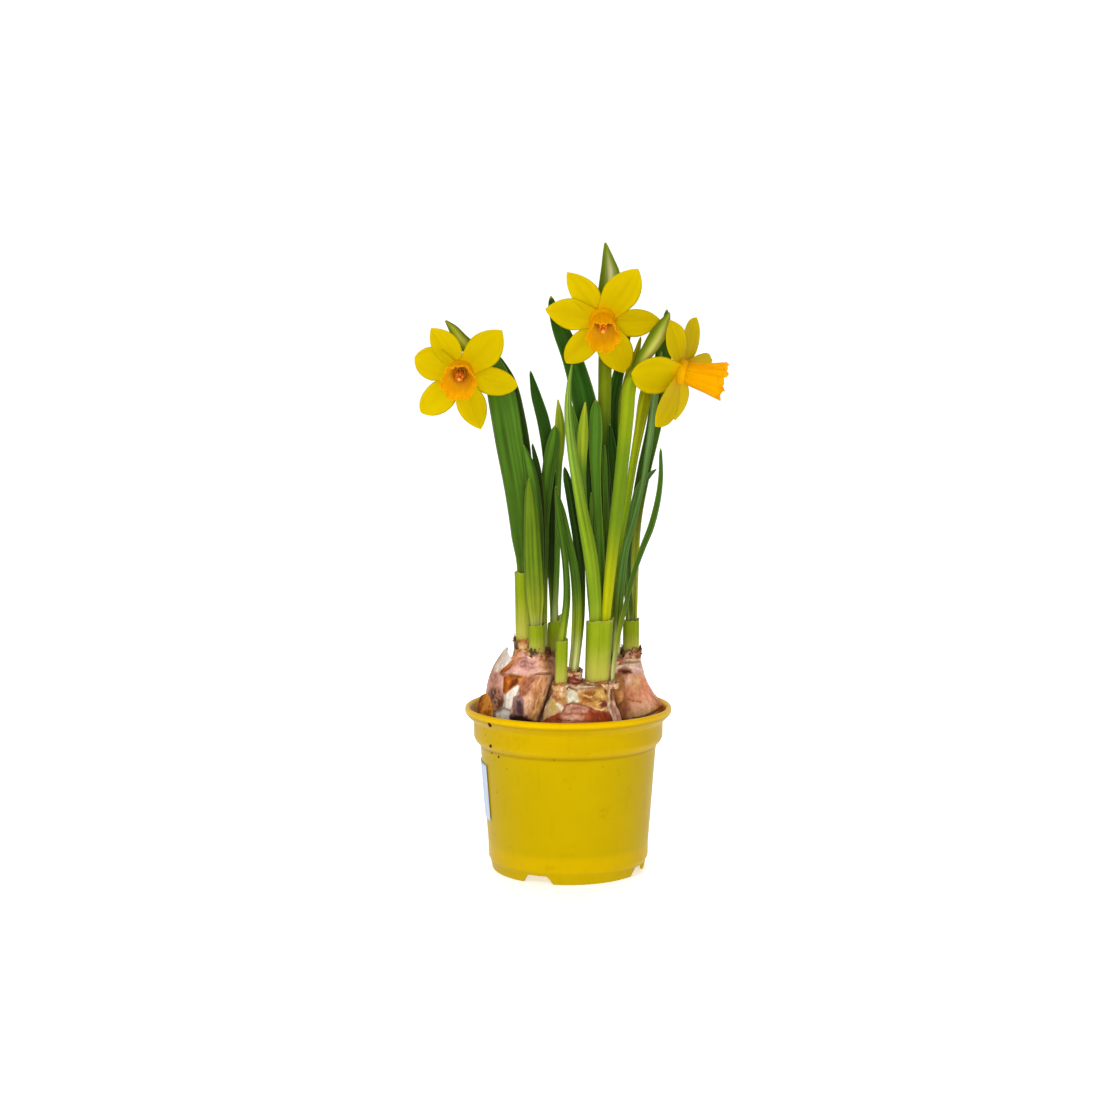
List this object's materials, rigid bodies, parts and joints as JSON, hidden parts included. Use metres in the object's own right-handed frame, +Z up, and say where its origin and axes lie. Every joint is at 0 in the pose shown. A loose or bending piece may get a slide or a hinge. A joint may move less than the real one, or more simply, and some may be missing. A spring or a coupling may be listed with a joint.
{
  "type": "potted dwarf daffodil",
  "caption": "Dwarf daffodil bulbs in leaf and flower, standing proud of the compost in a round yellow plastic grower's pot.",
  "frame": {"origin": "on the pot's axis, on the surface that the pot stands on", "axes": "+Z up along the pot's axis; the front of the plant, which two of the blooms look towards, faces -Y; +X to the right as seen from the front"},
  "size_m": [0.1472, 0.1, 0.3011],
  "materials": {
    "pot_plastic": "satin, moulded",
    "label_paper": "plain, matt",
    "compost": "rough and crumbly",
    "bulb_tunic": "papery and streaked, silky in places",
    "sheath": "thin, satin",
    "leaf": "satin, finely striped lengthwise",
    "scape": "satin",
    "spathe": "papery, thin",
    "bud": "satin",
    "tepal": "matt, finely veined",
    "corona": "matt, finely ribbed",
    "stamen": "matt"
  },
  "bodies": {
    "root": {"pot": "pot_plastic", "label": "label_paper", "compost": "compost", "bulb_left": "bulb_tunic", "bulb_front": "bulb_tunic", "bulb_right": "bulb_tunic", "sheath_left_a": "sheath", "sheath_left_b": "sheath", "sheath_left_c": "sheath", "sheath_front_a": "sheath", "sheath_front_c": "sheath", "sheath_right_a": "sheath", "leaf_left_1": "leaf", "leaf_left_2": "leaf", "leaf_left_3": "leaf", "leaf_left_4": "leaf", "leaf_left_5": "leaf", "leaf_left_6": "leaf", "leaf_left_7": "leaf", "leaf_front_1": "leaf", "leaf_front_2": "leaf", "leaf_front_3": "leaf", "leaf_front_4": "leaf", "leaf_front_5": "leaf", "leaf_front_6": "leaf", "leaf_front_7": "leaf", "leaf_front_8": "leaf", "leaf_front_9": "leaf", "leaf_right_1": "leaf", "leaf_right_2": "leaf", "leaf_right_3": "leaf", "leaf_right_4": "leaf", "leaf_right_5": "leaf", "leaf_right_6": "leaf", "leaf_right_7": "leaf", "leaf_right_8": "leaf", "bud_left": "bud", "bud_front": "bud", "scape_left": "scape", "spathe_left": "spathe", "perianth_left": "tepal", "corona_left": "corona", "stamens_left": "stamen", "scape_middle": "scape", "spathe_middle": "spathe", "perianth_middle": "tepal", "corona_middle": "corona", "stamens_middle": "stamen", "scape_right": "scape", "spathe_right": "spathe", "perianth_right": "tepal", "corona_right": "corona", "stamens_right": "stamen"}
  },
  "joints": []
}
